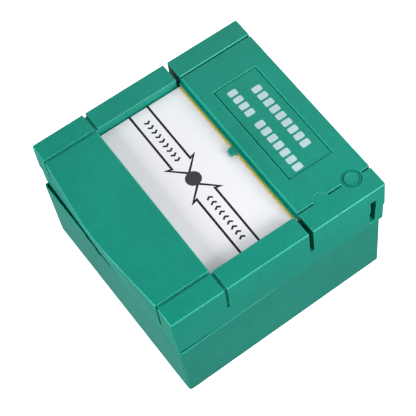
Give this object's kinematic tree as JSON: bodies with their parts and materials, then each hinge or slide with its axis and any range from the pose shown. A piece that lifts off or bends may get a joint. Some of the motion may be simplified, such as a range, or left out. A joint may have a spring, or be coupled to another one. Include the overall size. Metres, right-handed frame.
{
  "type": "manual call point",
  "caption": "Square wall-mounted resettable call point for releasing a door: press plate in a recessed window, drop flag, snap switches and terminals in a surface back box.",
  "frame": {"origin": "middle of the wall face, on the back of the back box", "axes": "+Z out of the wall through the face, +Y the top of the face, +X the right of the face"},
  "size_m": [0.0861, 0.0887, 0.0538],
  "materials": {
    "green_plastic": "satin moulded ABS with a fine spark texture",
    "box_plastic": "satin moulded ABS",
    "white_plastic": "smooth white with printed arrows",
    "grey_plastic": "moulded nylon",
    "yellow_plastic": "smooth yellow",
    "black_plastic": "moulded switch case",
    "red_plastic": "smooth red",
    "block_plastic": "moulded terminal block",
    "steel": "zinc-plated",
    "brass": "plain"
  },
  "bodies": {
    "case": {"back_box": "box_plastic", "front_housing": "green_plastic", "upper_fascia": "green_plastic", "label_plate": "green_plastic", "ring_plug": "green_plastic", "blanking_disc": "green_plastic", "pivot_pin": "steel", "switch_left": "black_plastic", "switch_right": "black_plastic", "terminal_block": "block_plastic", "terminal_screw_1": "brass", "terminal_screw_2": "brass", "terminal_screw_3": "brass", "terminal_screw_4": "brass", "terminal_screw_5": "brass", "terminal_screw_6": "brass", "unit_screw_left": "steel", "unit_screw_right": "steel", "fascia_screw_left": "steel", "fascia_screw_right": "steel", "plate_spring_left": "steel", "plate_spring_right": "steel"},
    "fascia": {"lower_fascia": "green_plastic"},
    "plate": {"press_plate": "white_plastic", "plate_carrier": "grey_plastic"},
    "flag": {"flag": "yellow_plastic"},
    "left_plunger": {"plunger_left": "red_plastic"},
    "right_plunger": {"plunger_right": "red_plastic"},
    "latch": {"reset_latch": "white_plastic"}
  },
  "joints": [
    {"name": "fascia_pull", "type": "slide", "parent": "case", "child": "fascia", "axis": [0, 0, 1], "range_m": [0, 0.02]},
    {"name": "plate_press", "type": "hinge", "parent": "case", "child": "plate", "pos_m": [0, -0.0234, 0.0455], "axis": [-1, 0, 0], "range_deg": [0, 4.5], "stiffness_Nm_per_rad": 1.2, "springref_deg": -6.88, "deforming": ["plate_spring_left", "plate_spring_right"]},
    {"name": "flag_drop", "type": "slide", "parent": "case", "child": "flag", "axis": [0, -1, 0], "range_m": [0, 0.003]},
    {"name": "left_plunger_slide", "type": "slide", "parent": "case", "child": "left_plunger", "axis": [0, 0, -1], "range_m": [0, 0.0013]},
    {"name": "right_plunger_slide", "type": "slide", "parent": "case", "child": "right_plunger", "axis": [0, 0, -1], "range_m": [0, 0.0013]},
    {"name": "latch_slide", "type": "slide", "parent": "case", "child": "latch", "axis": [1, 0, 0], "range_m": [0, 0.0035]}
  ],
  "couplings": [
    {"joint": "flag_drop", "follows": "plate_press", "m_per_rad": 0.0381},
    {"joint": "left_plunger_slide", "follows": "plate_press", "m_per_rad": 0.01528},
    {"joint": "right_plunger_slide", "follows": "plate_press", "m_per_rad": 0.01528},
    {"joint": "latch_slide", "follows": "plate_press", "m_per_rad": 0.0445}
  ]
}
